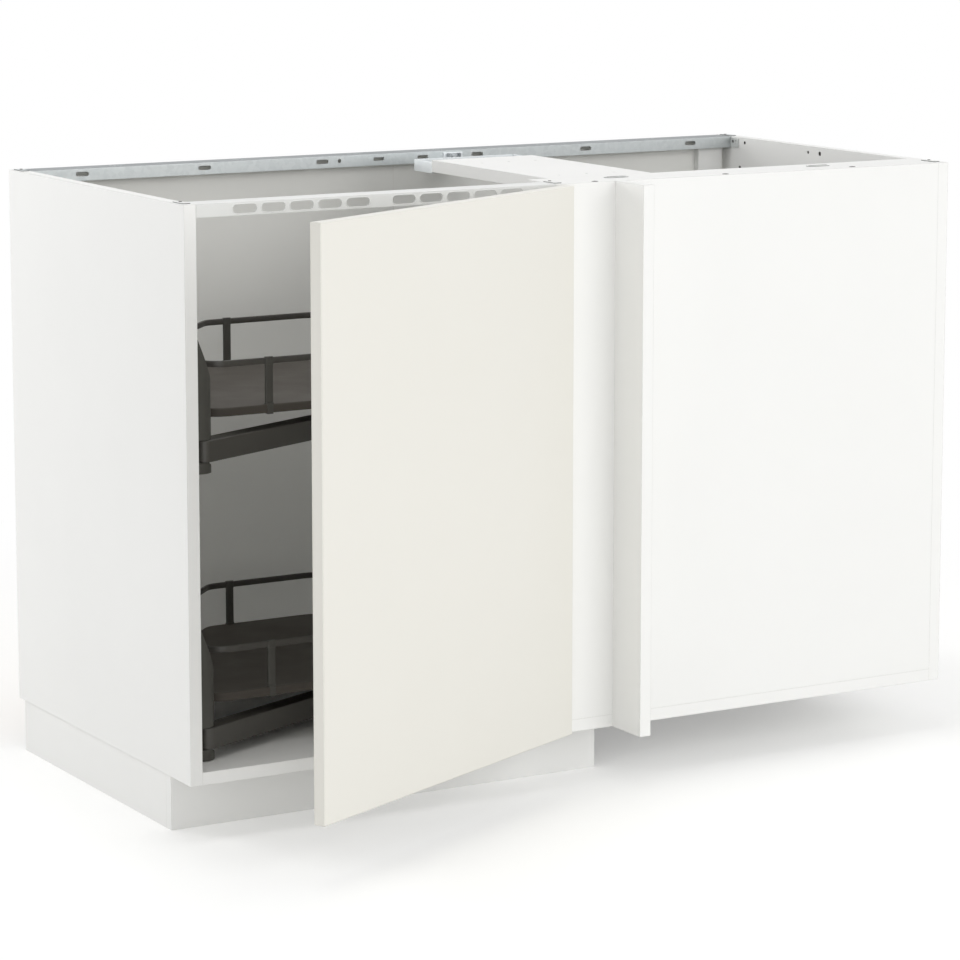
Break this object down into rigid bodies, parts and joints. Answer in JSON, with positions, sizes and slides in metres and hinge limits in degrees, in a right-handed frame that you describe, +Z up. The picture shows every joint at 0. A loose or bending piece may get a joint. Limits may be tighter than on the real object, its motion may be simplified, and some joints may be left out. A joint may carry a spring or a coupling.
{
  "type": "corner kitchen base cabinet with swing-out trays",
  "caption": "Wide blind-corner kitchen base cabinet with a hinged cream door ajar, whose two dark kidney-shaped trays swing out as it opens.",
  "frame": {"origin": "the floor point under the carcass's front left corner, the corner that a run of cabinets is set out from", "axes": "+X to the right along the cabinet's front, +Y from the front to the wall, +Z up"},
  "size_m": [1.275, 0.8738, 0.88],
  "materials": {
    "white_board": "smooth white foil on particle board",
    "back_board": "smooth painted fibre board",
    "cream_front": "matt cream foil on fibre board",
    "white_steel": "satin powder coat",
    "galvanised_steel": "galvanised sheet",
    "black_plastic": "moulded",
    "plain_wood": "bare beech",
    "nickel_steel": "nickel plated",
    "pin_steel": "zinc plated",
    "clear_rubber": "soft pad",
    "dark_deck": "dark foil on fibre board",
    "dark_steel": "satin powder coat",
    "dark_plastic": "fine grained moulding"
  },
  "bodies": {
    "cabinet": {"arm_bracket_lower": "dark_plastic", "arm_bracket_upper": "dark_plastic", "arm_pin_lower": "pin_steel", "arm_pin_upper": "pin_steel", "back_batten": "white_board", "back_joint_strip": "back_board", "back_rail_left": "galvanised_steel", "back_rail_right": "galvanised_steel", "back_sheet_left": "back_board", "back_sheet_right": "back_board", "base_dowels": "plain_wood", "blind_panel": "white_board", "bottom_board": "white_board", "brace_board": "white_board", "brace_channel": "galvanised_steel", "bracket_screws_lower": "pin_steel", "bracket_screws_upper": "pin_steel", "filler_board": "white_board", "front_rail": "white_steel", "hinge_arms": "nickel_steel", "hinge_plates": "nickel_steel", "hinge_post": "white_board", "legs": "black_plastic", "plate_screws": "pin_steel", "plinth_clips": "black_plastic", "plinth_front": "white_board", "plinth_side": "white_board", "rail_clamp": "galvanised_steel", "rail_plate_left": "galvanised_steel", "rail_plate_right": "galvanised_steel", "rail_splice": "galvanised_steel", "side_left": "white_board", "side_right": "white_board", "top_strip": "white_board"},
    "door": {"cup_screws": "pin_steel", "door_bumpers": "clear_rubber", "door_panel": "cream_front", "hinge_cups": "nickel_steel", "hinge_pins": "pin_steel"},
    "arm_lower": {"swing_arm_lower": "dark_steel", "tray_pin_lower": "pin_steel"},
    "arm_upper": {"swing_arm_upper": "dark_steel", "tray_pin_upper": "pin_steel"},
    "tray_lower": {"guard_posts_lower": "dark_steel", "tray_deck_lower": "dark_deck", "tray_guard_lower": "dark_steel", "tray_hub_lower": "dark_plastic"},
    "tray_upper": {"guard_posts_upper": "dark_steel", "tray_deck_upper": "dark_deck", "tray_guard_upper": "dark_steel", "tray_hub_upper": "dark_plastic"}
  },
  "joints": [
    {"name": "door_hinge", "type": "hinge", "parent": "cabinet", "child": "door", "pos_m": [0.591, -0.012, 0.48], "axis": [0, 0, 1], "range_deg": [-25.5, 84.5]},
    {"name": "arm_swing_lower", "type": "hinge", "parent": "cabinet", "child": "arm_lower", "pos_m": [0.056, 0.064, 0.13], "axis": [0, 0, 1], "range_deg": [-46.5, 14.1]},
    {"name": "tray_swing_lower", "type": "hinge", "parent": "arm_lower", "child": "tray_lower", "pos_m": [0.36661, 0.20229, 0.16], "axis": [0, 0, 1], "range_deg": [-47.2, 156.4]},
    {"name": "arm_swing_upper", "type": "hinge", "parent": "cabinet", "child": "arm_upper", "pos_m": [0.056, 0.064, 0.534], "axis": [0, 0, 1], "range_deg": [-46.5, 14.1]},
    {"name": "tray_swing_upper", "type": "hinge", "parent": "arm_upper", "child": "tray_upper", "pos_m": [0.36661, 0.20229, 0.564], "axis": [0, 0, 1], "range_deg": [-47.2, 156.4]}
  ],
  "couplings": [
    {"joint": "arm_swing_lower", "follows": "door_hinge", "ratio": -0.55},
    {"joint": "tray_swing_lower", "follows": "door_hinge", "ratio": 1.85},
    {"joint": "arm_swing_upper", "follows": "door_hinge", "ratio": -0.55},
    {"joint": "tray_swing_upper", "follows": "door_hinge", "ratio": 1.85}
  ]
}
